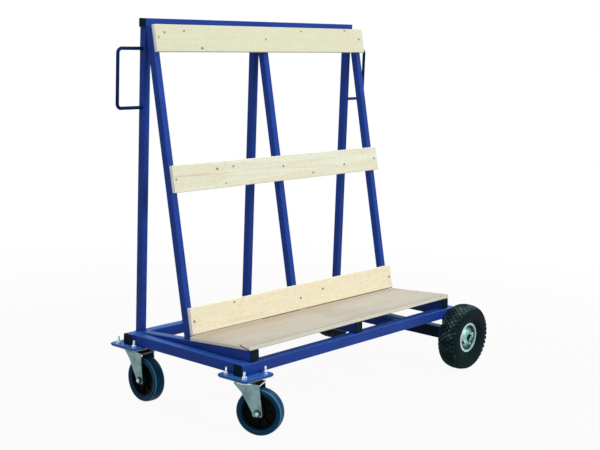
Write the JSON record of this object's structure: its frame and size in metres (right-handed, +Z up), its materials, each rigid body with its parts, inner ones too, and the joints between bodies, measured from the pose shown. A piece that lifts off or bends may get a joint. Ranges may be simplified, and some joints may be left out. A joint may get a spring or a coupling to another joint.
{
  "type": "sheet goods cart",
  "caption": "Tubular cart for carrying sheets on edge: a sloping deck and leaning boards on a welded frame, rolling on swivel castors and pneumatic wheels.",
  "frame": {"origin": "on the floor, under the middle of the cart's overall box", "axes": "+X along the cart from the castors to the pneumatic wheels, +Y from the loading side to the back, +Z up"},
  "size_m": [1.446, 0.7492, 1.342],
  "materials": {
    "blue_paint": "gloss powder coat",
    "black_plastic": "matte",
    "plywood": "bare faced plywood",
    "pine": "planed and bare",
    "zinc": "bright zinc plating",
    "seal": "matte",
    "castor_core": "satin",
    "castor_rubber": "satin",
    "tyre": "matte"
  },
  "bodies": {
    "frame": {"front_rail": "blue_paint", "rear_rail": "blue_paint", "left_cross_tube": "blue_paint", "middle_cross_tube": "blue_paint", "right_cross_tube": "blue_paint", "deck_bearer_left": "blue_paint", "deck_bearer_middle": "blue_paint", "deck_bearer_right": "blue_paint", "rear_post_left": "blue_paint", "rear_post_middle": "blue_paint", "rear_post_right": "blue_paint", "leaning_leg_left": "blue_paint", "leaning_leg_middle": "blue_paint", "leaning_leg_right": "blue_paint", "top_rail": "blue_paint", "handle_left": "blue_paint", "handle_right": "blue_paint", "axle_beam": "blue_paint", "axle_hanger_front": "blue_paint", "axle_hanger_rear": "blue_paint", "castor_pad_front": "blue_paint", "castor_pad_rear": "blue_paint", "front_rail_plug_left": "black_plastic", "front_rail_plug_right": "black_plastic", "rear_rail_plug_left": "black_plastic", "rear_rail_plug_right": "black_plastic", "bearer_plug_left": "black_plastic", "bearer_plug_middle": "black_plastic", "bearer_plug_right": "black_plastic", "top_rail_plug_left": "black_plastic", "top_rail_plug_right": "black_plastic", "top_board": "pine", "middle_board": "pine", "bottom_board": "pine", "deck_panel": "plywood", "castor_top_plate_front": "zinc", "castor_kingpin_front": "zinc", "castor_seal_front": "seal", "stub_axle_front": "zinc", "castor_top_plate_rear": "zinc", "castor_kingpin_rear": "zinc", "castor_seal_rear": "seal", "stub_axle_rear": "zinc"},
    "front_castor_swivel": {"castor_fork_front": "zinc", "castor_axle_bolt_front": "zinc", "castor_bearing_front": "zinc"},
    "front_castor_wheel": {"castor_core_front": "castor_core", "castor_tyre_front": "castor_rubber"},
    "front_road_wheel": {"road_hub_front": "black_plastic", "road_rim_front": "zinc", "road_tyre_front": "tyre"},
    "rear_castor_swivel": {"castor_fork_rear": "zinc", "castor_axle_bolt_rear": "zinc", "castor_bearing_rear": "zinc"},
    "rear_castor_wheel": {"castor_core_rear": "castor_core", "castor_tyre_rear": "castor_rubber"},
    "rear_road_wheel": {"road_hub_rear": "black_plastic", "road_rim_rear": "zinc", "road_tyre_rear": "tyre"}
  },
  "joints": [
    {"name": "front_castor_swivel_turn", "type": "hinge", "parent": "frame", "child": "front_castor_swivel", "pos_m": [-0.606, -0.24943, 0.182], "axis": [0, 0, 1], "continuous": true},
    {"name": "front_castor_wheel_roll", "type": "hinge", "parent": "front_castor_swivel", "child": "front_castor_wheel", "pos_m": [-0.58646, -0.29546, 0.08], "axis": [0.9205, 0.3907, 0], "continuous": true},
    {"name": "rear_castor_swivel_turn", "type": "hinge", "parent": "frame", "child": "rear_castor_swivel", "pos_m": [-0.606, 0.27857, 0.182], "axis": [0, 0, 1], "continuous": true},
    {"name": "rear_castor_wheel_roll", "type": "hinge", "parent": "rear_castor_swivel", "child": "rear_castor_wheel", "pos_m": [-0.60949, 0.22869, 0.08], "axis": [0.9976, -0.0698, 0], "continuous": true},
    {"name": "front_road_wheel_roll", "type": "hinge", "parent": "frame", "child": "front_road_wheel", "pos_m": [0.593, -0.32043, 0.13], "axis": [0, 1, 0], "continuous": true},
    {"name": "rear_road_wheel_roll", "type": "hinge", "parent": "frame", "child": "rear_road_wheel", "pos_m": [0.593, 0.33357, 0.13], "axis": [0, 1, 0], "continuous": true}
  ]
}
